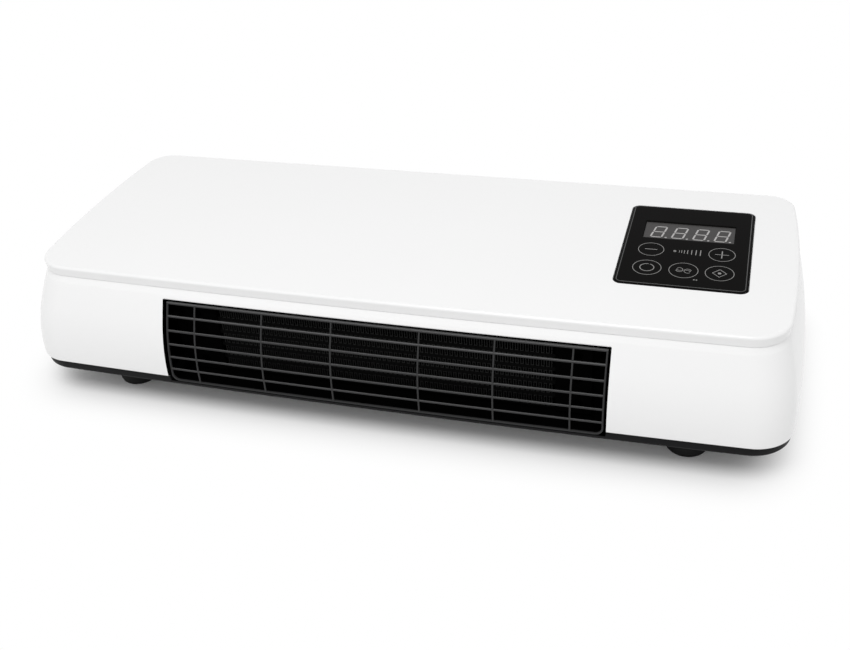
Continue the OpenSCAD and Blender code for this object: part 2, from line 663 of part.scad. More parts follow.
module foot_screws() color("silver") for (sx = [-1, 1], sy = [-1, 1])
    screw(sx * foot_x, sy * foot_y, foot_head_z, 3.6, 1.5, base_under - foot_head_z + 7);
module case_screws() color("silver") for (sx = [-1, 1], sy = [-1, 1])
    screw(sx * case_x, sy * case_y, case_head_z, 3.8, case_screw_r, case_screw_top - case_head_z);
module board_screws() color("silver") {
    for (x = [146, 210], y = [-40, 40])
        translate([0, 0, 2 * board_top]) mirror([0, 0, 1]) screw(x, y, board_top, 3, 1.2, 6);
    for (p = board_fix) translate([p[0], p[1], control_z]) {
        difference() {
            translate([0, 0, -1.5]) cylinder(h = 1.5, r = 2.2, $fn = 32);
            for (a = [0, 90]) rotate([0, 0, a]) translate([0, 0, -1.5]) cube([2.6, 0.7, 1.4], center = true);
        }
        cylinder(h = 4.6, r = 1.1, $fn = 32);
    }
}

top_cover();
body_shell();
base_tray();
outlet_grille();
inlet_grille();
touch_panel();
display_module();
control_board();
touch_springs();
heater_frame();
heater_tubes();
heater_fins();
heater_holder_left();
heater_holder_right();
heater_terminals();
fan_housing();
fan_cover();
fan_impeller();
drive_hub();
motor_shaft();
motor_rotor();
motor_stator();
motor_case();
motor_end_cap();
motor_bracket();
end_spindle();
bearing_bush();
bearing_mount();
thermal_cutout();
power_board();
power_relays();
supply_capacitor();
terminal_block();
switch_housing();
power_rocker();
cord_grommet();
foot_front_left();
foot_front_right();
foot_rear_left();
foot_rear_right();
foot_screws();
case_screws();
board_screws();
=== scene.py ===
"""Looks of a long low electric fan heater: a white barrel-walled housing on short rubber feet, a flat lid
with a black touch panel, and a black warm-air grille along the front. Shapes are given in millimetres."""

import math

import bmesh
import bpy
import numpy as np
from mathutils import Matrix, Vector
from mathutils.geometry import delaunay_2d_cdt


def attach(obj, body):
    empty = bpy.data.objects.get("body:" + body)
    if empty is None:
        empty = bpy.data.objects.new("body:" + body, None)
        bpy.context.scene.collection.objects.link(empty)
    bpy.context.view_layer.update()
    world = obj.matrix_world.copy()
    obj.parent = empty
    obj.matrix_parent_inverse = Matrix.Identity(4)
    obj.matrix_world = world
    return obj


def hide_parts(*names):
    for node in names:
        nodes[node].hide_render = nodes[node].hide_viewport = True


MM = 0.001
MERGED, DROPPED = 2e-6, 1e-7  # metres: vertices nearer than this become one, edges shorter than this go
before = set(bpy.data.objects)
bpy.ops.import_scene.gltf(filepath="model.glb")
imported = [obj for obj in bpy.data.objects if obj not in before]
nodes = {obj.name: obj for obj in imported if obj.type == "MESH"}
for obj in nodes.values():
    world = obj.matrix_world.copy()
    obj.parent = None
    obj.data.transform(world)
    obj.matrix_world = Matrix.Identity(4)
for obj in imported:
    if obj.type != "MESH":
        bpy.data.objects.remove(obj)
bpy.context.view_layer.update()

# ---------------------------------------------------------------- the housing's plan and section

HALF_LENGTH, HALF_DEPTH = 232.5, 86.0
FRONT_CORNER, BACK_CORNER, CORNER_GROWTH = 22.5, 16.5, 0.1
FRONT_BOW, END_BOW = 3.0, 5.0
HEIGHT, SEAM, FOOT = 90.0, 83.5, 27.5
BULGE, BULGE_HEIGHT, BARREL, WALL = 14.95, 30.0, 88.0, 2.6
END_SHARE = 0.6
OUTLET_HALF, OUTLET_TOP = 136.4, 76.9
UNDERSIDE, FLOOR_TOP = 21.0, 23.6
CASE_SCREWS = [(x, y) for x in (-207, 207) for y in (-66, 66)]
FEET = {"foot_front_left": (-180, -67.6), "foot_front_right": (180, -67.6), "foot_rear_left": (-180, 67.6),
        "foot_rear_right": (180, 67.6)}
BOARD_POSTS = [(x, y) for x in (146, 210) for y in (-40, 40)]
GRILLE_HALF, GRILLE_LOW, GRILLE_HIGH, GRILLE_CORNER = 135.2, 23.6, 74.7, 5.0
ROW_PITCH, BAR, REVEAL = 8.5, 1.1, 1.5
RIBS = (-116, -71.5, -27, 27, 71.5, 116)
PANEL = np.array([167.6, 8.7])
PANEL_SIZE = np.array([75.6, 98.8])
WINDOW = np.array([167.6, 26.1])
WINDOW_SIZE = np.array([54.4, 21.6])
FITTINGS_HEIGHT, PAD_FACE, PAD_BACK = 44.0, 99.2, 94.8

FRONT_RADIUS = (HALF_LENGTH**2 + FRONT_BOW**2) / (2 * FRONT_BOW)
END_RADIUS = (HALF_DEPTH**2 + END_BOW**2) / (2 * END_BOW)
FRONT_CENTRE = np.array([0, FRONT_RADIUS - HALF_DEPTH])
END_CENTRE = np.array([HALF_LENGTH - END_RADIUS, 0])


def crossing(p, rp, q, rq):
    """The point that circles of radius rp about p and rq about q share, on the right of the way from p to q."""
    d = np.linalg.norm(q - p)
    u = (q - p) / d
    k = (rp**2 - rq**2 + d**2) / (2 * d)
    return p + k * u - math.sqrt(rp**2 - k**2) * np.array([u[1], -u[0]])


def bearing(c, p):
    return math.atan2(p[1] - c[1], p[0] - c[0])


def barrel(z):
    """How far the wall stands outside the lid's edge: an arc of radius BARREL, widest at BULGE_HEIGHT."""
    return BULGE - BARREL + np.sqrt(BARREL**2 - (z - BULGE_HEIGHT) ** 2)


def barrel_inside(z):
    return BULGE - BARREL + np.sqrt((BARREL - WALL) ** 2 - (z - BULGE_HEIGHT) ** 2)


def arc(c, r, a, b, steps):
    """Points along an arc of radius r about c from bearing a to b, without its first."""
    t = np.linspace(a, b, steps + 1)[1:]
    return np.stack([c[0] + r * np.cos(t), c[1] + r * np.sin(t)], 1)


FRONT_X = np.r_[np.linspace(0, 136.4, 20), 136.9]
BACK_X = np.r_[200:168:-2, 166, 160, 154, 148, 142, 138:122:-2, 120:-1:-8].astype(float)
CORNER_STEPS, END_STEPS = 18, 20


def outline(o, e=None):
    """The plan outline, once round from the middle of the front, through the right end: bowed front, corner
    arc, bowed end, corner arc, straight back, then the same mirrored. Its front and back lie o outside the
    lid's edge and its ends e outside it. The corner arcs touch their neighbours; inside the lid's edge they
    shrink with it, and outside it they grow by a share of the way."""
    e = o if e is None else e
    out = (o + e) / 2
    r, back_r = (c + out * (CORNER_GROWTH if out > 0 else 1) for c in (FRONT_CORNER, BACK_CORNER))
    front_r, end_r = FRONT_RADIUS + o, END_RADIUS + e
    near = crossing(FRONT_CENTRE, front_r - r, END_CENTRE, end_r - r)
    back_y = HALF_DEPTH + o - back_r
    far = np.array([END_CENTRE[0] + math.sqrt((end_r - back_r) ** 2 - back_y**2), back_y])
    front_end, end_start, end_end = bearing(FRONT_CENTRE, near), bearing(END_CENTRE, near), bearing(END_CENTRE, far)
    x = np.r_[FRONT_X, np.linspace(FRONT_X[-1], near[0] + r * math.cos(front_end), 9)[1:]]
    half = np.concatenate(
        [
            np.stack([x, FRONT_CENTRE[1] - np.sqrt(front_r**2 - x**2)], 1),
            arc(near, r, front_end, end_start, CORNER_STEPS),
            arc(END_CENTRE, end_r, end_start, end_end, END_STEPS),
            arc(far, back_r, end_end, math.pi / 2, CORNER_STEPS),
            np.stack([BACK_X, np.full(len(BACK_X), HALF_DEPTH + o)], 1),
        ]
    )
    return np.concatenate([half, half[-2:0:-1] * [-1, 1]])


RING = len(outline(0))
BACK_START = len(FRONT_X) + 8 + 2 * CORNER_STEPS + END_STEPS
BACK_MIDDLE = BACK_START + len(BACK_X) - 1


def rounded(loop, centre, size, r):
    """Each point of a loop drawn in to a rounded rectangle: clamped to the rectangle's core, then r away from it."""
    core = np.array(size) / 2 - r
    d = loop - centre
    q = np.clip(d, -core, core)
    away = d - q
    return centre + q + r * away / np.maximum(np.linalg.norm(away, axis=1, keepdims=True), 1e-9)


def rounded_loop(centre, size, r, steps=8):
    """A rounded rectangle, counter-clockwise, with an arc of that many steps at each corner."""
    t = np.concatenate([np.linspace(a, a + math.pi / 2, steps + 1) for a in np.arange(4) * math.pi / 2])
    core = np.array(size) / 2 - r
    return np.array(centre) + np.sign(np.stack([np.cos(t + 1e-6), np.sin(t + 1e-6)], 1)) * core + r * np.stack(
        [np.cos(t), np.sin(t)], 1
    )


def at_height(loop, z):
    """A plan loop as points at one height."""
    return np.c_[loop, np.full(len(loop), z)]


def grid_faces(rows, columns):
    """Quads between neighbouring rows of a grid of vertices, whose rows close on themselves."""
    i, j = np.meshgrid(np.arange(rows - 1), np.arange(columns), indexing="ij")
    k = (j + 1) % columns
    return np.stack([i * columns + j, i * columns + k, (i + 1) * columns + k, (i + 1) * columns + j], -1)


def end_caps(rows, columns):
    """The first and the last row of such a grid as faces of their own, the last turned round."""
    return [range(columns), range(rows * columns - 1, (rows - 1) * columns - 1, -1)]


def flat_fill(outer, holes, z):
    """The flat region between one outer loop and its holes, as triangles at height z."""
    loops = [outer, *holes]
    points = np.concatenate(loops)
    first = np.cumsum([0] + [len(l) for l in loops])
    edges = [(a + i, a + (i + 1) % len(l)) for a, l in zip(first, loops) for i in range(len(l))]
    out, _, faces, *_ = delaunay_2d_cdt([Vector(p) for p in points], edges, [], 0, 1e-5)
    out = np.array(out)
    faces = np.array(faces)
    mid = out[faces].mean(1)
    a, b, c = out[faces[:, 0]], out[faces[:, 1]], out[faces[:, 2]]
    u, v = b - a, c - a
    keep = np.abs(u[:, 0] * v[:, 1] - u[:, 1] * v[:, 0]) > 1e-3
    for hole in holes:
        keep &= ~inside(mid, hole)
    keep &= inside(mid, outer)
    return at_height(out, z), faces[keep]


def inside(points, loop):
    """Which points lie inside a closed loop, by counting the edges crossed on the way to the right."""
    a, b = loop, np.roll(loop, -1, 0)
    x, y = points[:, :1], points[:, 1:]
    spans = (a[:, 1] > y) != (b[:, 1] > y)
    rise = np.where(np.abs(b[:, 1] - a[:, 1]) < 1e-12, 1e-12, b[:, 1] - a[:, 1])
    return (spans & (x < (b[:, 0] - a[:, 0]) * (y - a[:, 1]) / rise + a[:, 0])).sum(1) % 2 == 1


def put_in_scene(name, data):
    o = bpy.data.objects.new(name, data)
    bpy.context.scene.collection.objects.link(o)
    return o


class Build:
    """Collects the vertices and faces of one piece."""

    def __init__(self):
        self.verts, self.faces, self.count = [], [], 0

    def add(self, verts, faces, caps=()):
        """Takes vertices with the faces between them, and caps that may have any number of corners."""
        faces = np.asarray(faces)
        self.verts.append(np.asarray(verts, float).reshape(-1, 3))
        self.faces += [[int(i) + self.count for i in f] for f in [*faces.reshape(-1, faces.shape[-1]), *caps]]
        self.count += len(self.verts[-1])

    def piece(self, name, material, sharp=32, body="housing"):
        """Drops vertices that no face uses, merges doubles, turns the faces outwards and shades the piece smooth
        up to its sharp edges."""
        used, index = np.unique(np.concatenate(self.faces), return_inverse=True)
        cuts = np.cumsum([len(f) for f in self.faces])[:-1]
        faces = [f.tolist() for f in np.split(index, cuts)]
        mesh = bpy.data.meshes.new(name)
        mesh.from_pydata((np.concatenate(self.verts)[used] * MM).tolist(), [], faces)
        bm = bmesh.new()
        bm.from_mesh(mesh)
        bmesh.ops.remove_doubles(bm, verts=bm.verts, dist=MERGED)
        bmesh.ops.dissolve_degenerate(bm, edges=bm.edges, dist=DROPPED)
        bmesh.ops.recalc_face_normals(bm, faces=bm.faces)
        bm.to_mesh(mesh)
        bm.free()
        mesh.polygons.foreach_set("use_smooth", np.ones(len(mesh.polygons), bool))
        mesh.set_sharp_from_angle(angle=math.radians(sharp))
        mesh.materials.append(material)
        o = put_in_scene(name, mesh)
        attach(o, body)
        return o


def paint(piece, material, chosen):
    """Gives a second material to the faces that a rule on their centres and normals, in millimetres, picks."""
    faces = piece.data.polygons
    middle, facing = np.empty(3 * len(faces), np.float32), np.empty(3 * len(faces), np.float32)
    faces.foreach_get("center", middle)
    faces.foreach_get("normal", facing)
    piece.data.materials.append(material)
    picked = chosen(middle.reshape(-1, 3).T / MM, facing.reshape(-1, 3).T)
    faces.foreach_set("material_index", picked.astype(np.int32))


def between(loops):
    """A closed band of quads through loops with the same number of points."""
    n = len(loops[0])
    return np.concatenate(loops), grid_faces(len(loops), n).reshape(-1, 4)


# ---------------------------------------------------------------- finishes


def feed(tree, socket, value):
    """Sets a socket to a plain value, or links it to the socket that gives the value."""
    if isinstance(value, bpy.types.NodeSocket):
        tree.links.new(value, socket)
    else:
        socket.default_value = value


def maths(tree, operation, *values):
    node = tree.nodes.new("ShaderNodeMath")
    node.operation = operation
    for socket, value in zip(node.inputs, values):
        feed(tree, socket, value)
    return node.outputs[0]


def times(tree, color, factor):
    """A colour made lighter or darker by a factor."""
    node = tree.nodes.new("ShaderNodeVectorMath")
    node.operation = "SCALE"
    tree.links.new(color, node.inputs[0])
    tree.links.new(factor, node.inputs["Scale"])
    return node.outputs["Vector"]


def noise(tree, place, scale, detail):
    node = tree.nodes.new("ShaderNodeTexNoise")
    tree.links.new(place, node.inputs["Vector"])
    feed(tree, node.inputs["Scale"], scale)
    node.inputs["Detail"].default_value = detail
    return node.outputs["Fac"]


def socket_group(name, inputs, outputs):
    """A shader node group with named inputs and outputs, and the nodes at its two ends."""
    g = bpy.data.node_groups.new(name, "ShaderNodeTree")
    for n, kind, value in inputs:
        s = g.interface.new_socket(n, in_out="INPUT", socket_type=kind)
        if value is not None:
            s.default_value = value
    for n, kind in outputs:
        g.interface.new_socket(n, in_out="OUTPUT", socket_type=kind)
    return g, g.nodes.new("NodeGroupInput"), g.nodes.new("NodeGroupOutput")


def moulded_skin():
    """Colour that drifts by a few hundredths over the surface, roughness that does the same, and a fine
    spark-eroded grain as a height."""
    g, i, o = socket_group(
        "moulded skin",
        [
            ("Color", "NodeSocketColor", (0.8, 0.8, 0.8, 1)),
            ("Drift", "NodeSocketFloat", 0.03),
            ("Roughness", "NodeSocketFloat", 0.4),
            ("Grain Scale", "NodeSocketFloat", 1500.0),
        ],
        [("Color", "NodeSocketColor"), ("Roughness", "NodeSocketFloat"), ("Height", "NodeSocketFloat")],
    )
    l = g.links
    place = g.nodes.new("ShaderNodeTexCoord").outputs["Object"]
    broad = noise(g, place, 14, 3)
    grain = noise(g, place, i.outputs["Grain Scale"], 2)
    swing = maths(g, "SUBTRACT", broad, 0.5)
    tone = maths(g, "MULTIPLY_ADD", swing, i.outputs["Drift"], 1)
    l.new(times(g, i.outputs["Color"], tone), o.inputs["Color"])
    l.new(maths(g, "MULTIPLY_ADD", swing, 0.08, i.outputs["Roughness"]), o.inputs["Roughness"])
    l.new(grain, o.inputs["Height"])
    return g


def drawn_metal():
    """Fine lines along X as a height and a tone, as rolled and drawn metal has."""
    g, i, o = socket_group(
        "drawn metal",
        [
            ("Color", "NodeSocketColor", (0.7, 0.7, 0.7, 1)),
            ("Roughness", "NodeSocketFloat", 0.3),
            ("Lines", "NodeSocketFloat", 900.0),
        ],
        [("Color", "NodeSocketColor"), ("Roughness", "NodeSocketFloat"), ("Height", "NodeSocketFloat")],
    )
    n, l = g.nodes, g.links
    stretch = n.new("ShaderNodeMapping")
    stretch.inputs["Scale"].default_value = (0.03, 1, 1)
    l.new(n.new("ShaderNodeTexCoord").outputs["Object"], stretch.inputs["Vector"])
    lines = noise(g, stretch.outputs["Vector"], i.outputs["Lines"], 2)
    tone = maths(g, "MULTIPLY_ADD", lines, 0.16, 0.92)
    l.new(times(g, i.outputs["Color"], tone), o.inputs["Color"])
    l.new(maths(g, "MULTIPLY_ADD", lines, 0.15, i.outputs["Roughness"]), o.inputs["Roughness"])
    l.new(lines, o.inputs["Height"])
    return g


SKIN = moulded_skin()
METAL = drawn_metal()


def finish(name, color, roughness, group=SKIN, scale=1500.0, bump=0.05, drift=0.04, metallic=0.0, coat=0.0,
           specular=0.5, coat_roughness=0.08):
    """A material whose colour, roughness and grain come from one of the shared groups."""
    m = bpy.data.materials.new(name)
    m.use_nodes = True
    n, l = m.node_tree.nodes, m.node_tree.links
    shader = n["Principled BSDF"]
    skin = n.new("ShaderNodeGroup")
    skin.node_tree = group
    skin.inputs["Color"].default_value = (*color, 1)
    skin.inputs["Roughness"].default_value = roughness
    if group is SKIN:
        skin.inputs["Drift"].default_value = drift
        skin.inputs["Grain Scale"].default_value = scale
    else:
        skin.inputs["Lines"].default_value = scale
    l.new(skin.outputs["Color"], shader.inputs["Base Color"])
    l.new(skin.outputs["Roughness"], shader.inputs["Roughness"])
    relief = n.new("ShaderNodeBump")
    relief.inputs["Strength"].default_value = bump
    relief.inputs["Distance"].default_value = 0.0001
    l.new(skin.outputs["Height"], relief.inputs["Height"])
    l.new(relief.outputs["Normal"], shader.inputs["Normal"])
    shader.inputs["Metallic"].default_value = metallic
    shader.inputs["Specular IOR Level"].default_value = specular
    shader.inputs["Coat Weight"].default_value = coat
    shader.inputs["Coat Roughness"].default_value = coat_roughness
    return m


WHITE = finish("white gloss housing", (0.86, 0.86, 0.86), 0.3, scale=2200, bump=0.02, drift=0.01, coat=0.5,
               coat_roughness=0.12)
BASE = finish("black base plastic", (0.006, 0.006, 0.0065), 0.5, bump=0.12, specular=0.1)
GRILLE = finish("black grille plastic", (0.028, 0.028, 0.0285), 0.45, bump=0.1, specular=0.2)
# Painted light: a lighter copy of the grille plastic for the bars' upper faces, where light falls on them. The rest
# keeps the darker copy.
BAR_TOPS_PAINTED_LIGHT = finish("painted-light grille bars", (0.095, 0.095, 0.096), 0.5, bump=0.1, specular=0.2)
# Black plastic made near black and without gloss as painted shade: the parts inside the housing and the grille's tabs
# read as shade.
SHADED_INSIDE_PLASTIC = finish("near-black duct, painted shade", (0.0012, 0.0012, 0.0012), 0.8, bump=0.15, specular=0.0)
PANEL_BLACK = finish("panel black", (0.005, 0.0047, 0.0046), 0.22, bump=0.01, drift=0.2, specular=0.008)
# Partly painted highlight: the ridge on the panel's edge is a lighter black than the panel, for the bright line of
# light along it, as well as glossier.
PANEL_RIDGE_HIGHLIGHT = finish("panel ridge, partly painted highlight", (0.02, 0.02, 0.0205), 0.16, bump=0.01, drift=0.1)
WINDOW_GREY = finish("display window grey", (0.05, 0.048, 0.0475), 0.35, scale=900, bump=0.02, drift=0.3, specular=0.1)
DIGIT = finish("display segment", (0.4, 0.39, 0.385), 0.45, bump=0.02, drift=0.05)
SIGN = finish("printed sign", (0.25, 0.245, 0.24), 0.5, bump=0.02, drift=0.1)
BOARD = finish("green board lacquer", (0.03, 0.14, 0.06), 0.35, scale=1200, bump=0.1, drift=0.3, coat=0.3)
SPRING = finish("spring steel", (0.6, 0.6, 0.62), 0.3, METAL, 1500, metallic=1)
# Painted shade: the element's aluminium tubes get a near-black colour for the shade they sit in behind the grille.
SHADED_TUBE_METAL = finish("element metal, painted shade", (0.003, 0.003, 0.003), 0.6, METAL, 900, bump=0.1, metallic=0.3, specular=0.02)
# Painted shade: the element's fins get a near-black colour in place of their light aluminium, for the shade they sit in
# behind the grille.
SHADED_FIN_METAL = finish("fin metal, painted shade", (0.009, 0.009, 0.009), 0.6, METAL, 600, bump=0.1, metallic=0.6)
BRASS = finish("brass tabs", (0.75, 0.58, 0.28), 0.3, METAL, 1200, metallic=1)
BLADES = finish("impeller plastic", (0.03, 0.031, 0.034), 0.55, bump=0.1)
HUB = finish("turned hub", (0.7, 0.53, 0.25), 0.3, METAL, 1800, metallic=1)
SHAFT = finish("ground shaft", (0.62, 0.62, 0.64), 0.22, METAL, 2500, metallic=1)
CORE = finish("stacked core steel", (0.3, 0.29, 0.28), 0.5, METAL, 2500, bump=0.3, metallic=1)
COPPER = finish("lacquered winding", (0.6, 0.26, 0.12), 0.35, METAL, 2500, bump=0.4, metallic=1)
MOTOR = finish("plated motor case", (0.66, 0.67, 0.68), 0.35, METAL, 900, metallic=1)
BRACKET = finish("plated bracket", (0.6, 0.61, 0.62), 0.35, METAL, 700, metallic=1)
BUSH = finish("sintered bush", (0.5, 0.33, 0.16), 0.5, METAL, 2000, bump=0.2, metallic=1)
RUBBER = finish("soft rubber", (0.01, 0.01, 0.01), 0.8, bump=0.3)
FOOT_RUBBER = finish("foot rubber", (0.006, 0.006, 0.006), 0.55, scale=1100, bump=0.2, specular=0.15)
CERAMIC = finish("cut-out body", (0.62, 0.55, 0.4), 0.6, bump=0.2)
RELAY = finish("relay blue", (0.02, 0.07, 0.26), 0.4, bump=0.05)
CAPACITOR = finish("capacitor yellow", (0.55, 0.38, 0.05), 0.4, bump=0.05)
TERMINAL = finish("terminal green", (0.03, 0.24, 0.1), 0.45, bump=0.05)
SWITCH = finish("switch black", (0.01, 0.01, 0.01), 0.4, bump=0.1)
ROCKER = finish("rocker black", (0.014, 0.014, 0.015), 0.22, bump=0.03, coat=0.3)
SCREW = finish("plated screw", (0.55, 0.55, 0.57), 0.3, METAL, 2500, metallic=1)


def paint_shade_behind(material, front, back, colour):
    """Paints shade into a material: fades its colour to another along Y, between two depths in millimetres."""
    n, l = material.node_tree.nodes, material.node_tree.links
    place, split = n.new("ShaderNodeTexCoord"), n.new("ShaderNodeSeparateXYZ")
    depth, mix = n.new("ShaderNodeMapRange"), n.new("ShaderNodeMix")
    depth.interpolation_type = "SMOOTHSTEP"
    depth.inputs["From Min"].default_value, depth.inputs["From Max"].default_value = front * MM, back * MM
    mix.data_type = "RGBA"
    mix.inputs["B"].default_value = (*colour, 1)
    l.new(place.outputs["Object"], split.inputs[0])
    l.new(split.outputs["Y"], depth.inputs["Value"])
    l.new(depth.outputs["Result"], mix.inputs["Factor"])
    base = n["Principled BSDF"].inputs["Base Color"]
    l.new(base.links[0].from_socket, mix.inputs["A"])
    l.new(mix.outputs["Result"], base)


# Painted shade: the fins fade to almost black behind their front edges, where the gaps between them lie in shade.
paint_shade_behind(SHADED_FIN_METAL, -81.4, -80.6, (0.001, 0.001, 0.001))

WORN_BY = {
    WHITE: ["top_cover", "body_shell"],
    BASE: ["base_tray"],
    SWITCH: ["switch_housing"],
    GRILLE: ["outlet_grille", "inlet_grille"],
    SHADED_INSIDE_PLASTIC: ["heater_frame", "fan_housing", "fan_cover", "heater_holder_left", "heater_holder_right"],
    PANEL_BLACK: ["touch_panel"],
    WINDOW_GREY: ["display_module"],
    BOARD: ["control_board", "power_board"],
    SPRING: ["touch_springs"],
    SHADED_TUBE_METAL: ["heater_tubes"],
    SHADED_FIN_METAL: ["heater_fins"],
    BRASS: ["heater_terminals"],
    BLADES: ["fan_impeller"],
    HUB: ["drive_hub"],
    SHAFT: ["motor_shaft", "end_spindle"],
    CORE: ["motor_rotor"],
    COPPER: ["motor_stator"],
    MOTOR: ["motor_case", "motor_end_cap"],
    BRACKET: ["motor_bracket"],
    BUSH: ["bearing_bush"],
    RUBBER: ["bearing_mount", "cord_grommet"],
    CERAMIC: ["thermal_cutout"],
    RELAY: ["power_relays"],
    CAPACITOR: ["supply_capacitor"],
    TERMINAL: ["terminal_block"],
    ROCKER: ["power_rocker"],
    FOOT_RUBBER: ["foot_front_left", "foot_front_right", "foot_rear_left", "foot_rear_right"],
    SCREW: ["foot_screws", "case_screws", "board_screws"],
}
for material, names in WORN_BY.items():
    for name in names:
        nodes[name].data.materials.clear()
        nodes[name].data.materials.append(material)

# ---------------------------------------------------------------- the shell

SHOULDER, SEAM_IN, FULLNESS = 79.4, -1.3, 1.6
PATCH_FOOT, PAD_ROWS = 29, 22
INLET = (0, 53)
ROWS = np.r_[FOOT, 27.8, 28.4, np.linspace(PATCH_FOOT, 76.1, 31), 76.9, 77.6, 78.3, 78.9, 79.25, 79.4, 79.55, 79.9,
             80.6, 81.4, 82.1, 82.6, 82.9, 83.1, 83.3, SEAM]


def wall_face(z, share=1.0, fullness=FULLNESS):
    """How far the wall stands outside the lid's edge below the shoulder: a share of the barrel arc, with a
    fullness that grows with the square of the height over its last part."""
    return share * barrel(z) + fullness * np.clip((z - 64) / (SHOULDER - 64), 0, 1) ** 2


def shell_offsets(z):
    """How far the shell's face lies outside the lid's edge at the front and back, and at the ends. It is the
    wall's face, turned in by half a millimetre at the foot. Above the shoulder line it slopes straight in to
    the seam, under the lid's edge, and its last 0.4 mm is rounded off."""
    foot = np.clip((FOOT + 0.9 - z) / 0.9, 0, 1)
    lip = np.clip((z - SEAM + 0.4) / 0.4, 0, 1)
    rise = (z - SHOULDER) / (SEAM - SHOULDER)
    turned = 0.5 * (1 - np.sqrt(1 - foot**2)) + 0.3 * (1 - np.sqrt(1 - 0.98 * lip**2))
    return [
        np.where(z > SHOULDER, wall_face(SHOULDER, *form) * (1 - rise) + SEAM_IN * rise, wall_face(z, *form)) - turned
        for form in ((1, FULLNESS), (END_SHARE, 0.35 * FULLNESS))
    ]


def make_shell():
    """An outer and an inner skin with the same faces: the plan outline at each height, o outside the lid's
    edge. Faces are left out at the openings, and every free edge of the outer skin is joined to the inner."""
    plan = np.stack([outline(o, e) for o, e in zip(*shell_offsets(ROWS))])
    outer = np.concatenate([plan, np.broadcast_to(ROWS[:, None, None], (len(ROWS), RING, 1))], 2)
    plan_in = np.stack([outline(o, e) for o, e in zip(barrel_inside(ROWS), END_SHARE * barrel(ROWS) - WALL)])
    inner = np.concatenate([plan_in, outer[..., 2:]], 2)
    top_row = int(np.argmin(np.abs(ROWS - OUTLET_TOP)))
    low_row = int(np.argmin(np.abs(ROWS - PATCH_FOOT)))
    column = np.arange(RING)
    mirrored = np.minimum(column, RING - column)
    edge = len(FRONT_X) - 2
    outer[:top_row, mirrored == edge, 1] += 0.5
    outer[top_row, mirrored <= edge, 1] += 0.5
    faces = grid_faces(len(ROWS), RING)
    keep = np.ones(faces.shape[:2], bool)
    side = np.minimum(column, RING - 1 - column)
    keep[:top_row, side < edge] = False
    verts, inside_verts, quads = [outer.reshape(-1, 3)], [inner.reshape(-1, 3)], []
    count = outer.shape[0] * RING

    def patch(c0, c1, r1, rings):
        """Fills a window of the back wall, between two columns and up to a row, with rings drawn in to shapes."""
        nonlocal count
        keep[low_row:r1, c0:c1] = False
        c, r = np.arange(c0, c1 + 1), np.arange(low_row, r1 + 1)
        i = np.concatenate(
            [low_row * RING + c, r[1:] * RING + c1, r1 * RING + c[-2::-1], r[-2:0:-1] * RING + c0]
        )
        loop = outer.reshape(-1, 3)[i][:, [0, 2]]
        last = i
        for centre, size, radius, depth, depth_in in rings:
            p = rounded(loop, np.array(centre), size, radius)
            ring = np.stack([p[:, 0], depth(p[:, 1]), p[:, 1]], 1)
            verts.append(ring)
            inside_verts.append(np.stack([p[:, 0], depth_in(p[:, 1]), p[:, 1]], 1))
            new = count + np.arange(len(i))
            quads.append(np.stack([last, np.roll(last, -1), np.roll(new, -1), new], 1))
            last = new
            count += len(i)

    def wall(z):
        return HALF_DEPTH + wall_face(z)

    def wall_in(z):
        return HALF_DEPTH + barrel_inside(z)

    def flat(y):
        return lambda z: np.full_like(z, y)

    proud = HALF_DEPTH + BULGE + 0.3
    column_at = {x: BACK_START + int(np.argmin(np.abs(BACK_X - x))) for x in (200, 170, 138)}
    patch(
        column_at[138],
        2 * BACK_MIDDLE - column_at[138],
        top_row,
        [
            (INLET, (265.2, 41.2), 6.6, wall, wall_in),
            (INLET, (264, 40), 6, lambda z: wall(z) - 0.5, wall_in),
        ],
    )
    for x, boss, recess, hole, hole_r, sign in (
        (185, (24, 28), (18, 24), (13, 19), 0.6, 1),
        (-185, (28, 28), (23, 23), (16, 16), 8, -1),
    ):
        centre = (x, FITTINGS_HEIGHT)
        a, b = column_at[200], column_at[170]
        if sign < 0:
            a, b = 2 * BACK_MIDDLE - b, 2 * BACK_MIDDLE - a
        w, h = boss
        v, k = recess
        patch(
            a,
            b,
            low_row + PAD_ROWS,
            [
                (centre, (w, h), 3, wall, wall_in),
                (centre, (w, h), 3, lambda z: np.maximum(wall(z), proud - 0.5), flat(PAD_BACK)),
                (centre, (w - 1, h - 1), 2.5, flat(proud), flat(PAD_BACK)),
                (centre, (v + 0.8, k + 0.8), 3.4, flat(proud), flat(PAD_BACK)),
                (centre, (v, k), 3, flat(proud - 0.4), flat(PAD_BACK)),
                (centre, (v, k), 3, flat(PAD_FACE), flat(PAD_BACK)),
                (centre, hole, hole_r, flat(PAD_FACE), flat(PAD_BACK)),
            ],
        )
    quads.append(faces[keep])
    quads = np.concatenate(quads)
    edges = np.stack([quads, np.roll(quads, -1, 1)], -1).reshape(-1, 2)
    key = np.sort(edges, 1) @ np.array([count, 1])
    _, first, uses = np.unique(key, return_index=True, return_counts=True)
    free = edges[first[uses == 1]]
    rim = np.stack([free[:, 0], free[:, 1], free[:, 1] + count, free[:, 0] + count], 1)
    build = Build()
    build.add(np.concatenate(verts + inside_verts), np.concatenate([quads, quads[:, ::-1] + count, rim]))
    return build.piece("shell", WHITE)


shell = make_shell()
# Painted shade: the white shell's cut edges beside the outlet get the near-black inside finish, for the shade between
# shell and grille.
paint(shell, SHADED_INSIDE_PLASTIC, lambda c, n: (np.abs(np.abs(c[0]) - OUTLET_HALF) < 0.9) & (c[1] < -70) & (np.abs(n[0]) > 0.6))
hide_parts("body_shell")


# ---------------------------------------------------------------- the lid

EDGE, FLAT_TOP = 1.6, -4.2
SKIRT_OUT, SKIRT_IN, SKIRT_FOOT = -7, -9, 79.5
LID_UNDERSIDE, POCKET_FLOOR, POCKET_UNDERSIDE = 87.4, 88.2, 84.4


